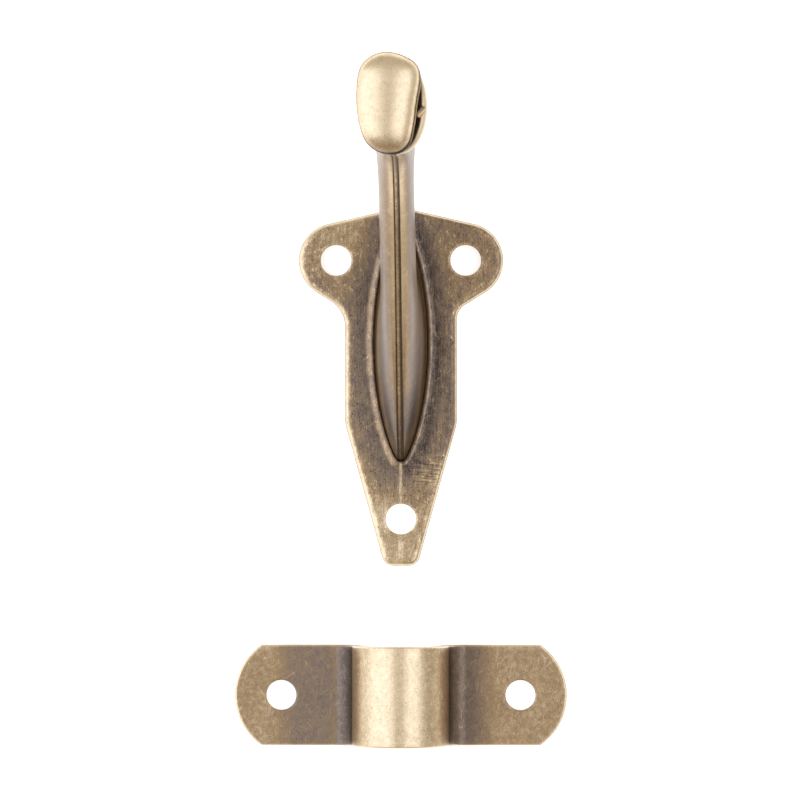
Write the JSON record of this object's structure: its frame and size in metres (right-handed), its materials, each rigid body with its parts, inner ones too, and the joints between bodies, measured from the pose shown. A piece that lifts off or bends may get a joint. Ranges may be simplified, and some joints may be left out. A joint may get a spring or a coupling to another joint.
{
  "type": "handrail bracket",
  "caption": "Wall bracket for a stair handrail: a lobed screw plate, a hollow S-shaped arm with a domed cap, and a loose arched rail strap.",
  "frame": {"origin": "back face of the wall plate, midway between its two upper screw holes", "axes": "+X to the right as seen from the room, +Y up the wall, +Z out from the wall"},
  "size_m": [0.063, 0.1281, 0.0753],
  "materials": {
    "plate_finish": "antique brass plating, darkened and brushed",
    "arm_finish": "antique brass plating, rubbed bright on the crowns",
    "core_finish": "antique brass plating, dark",
    "cap_finish": "antique brass plating, polished",
    "strap_finish": "antique brass plating, satin"
  },
  "bodies": {
    "bracket": {"wall_plate": "plate_finish", "arm_right_shell": "arm_finish", "arm_left_shell": "arm_finish", "arm_core": "core_finish", "end_cap": "cap_finish"},
    "strap": {"rail_strap": "strap_finish"}
  },
  "joints": [
    {"name": "strap_lift", "type": "slide", "parent": "bracket", "child": "strap", "axis": [0, 0, 1], "range_m": [0, 0.1]}
  ]
}
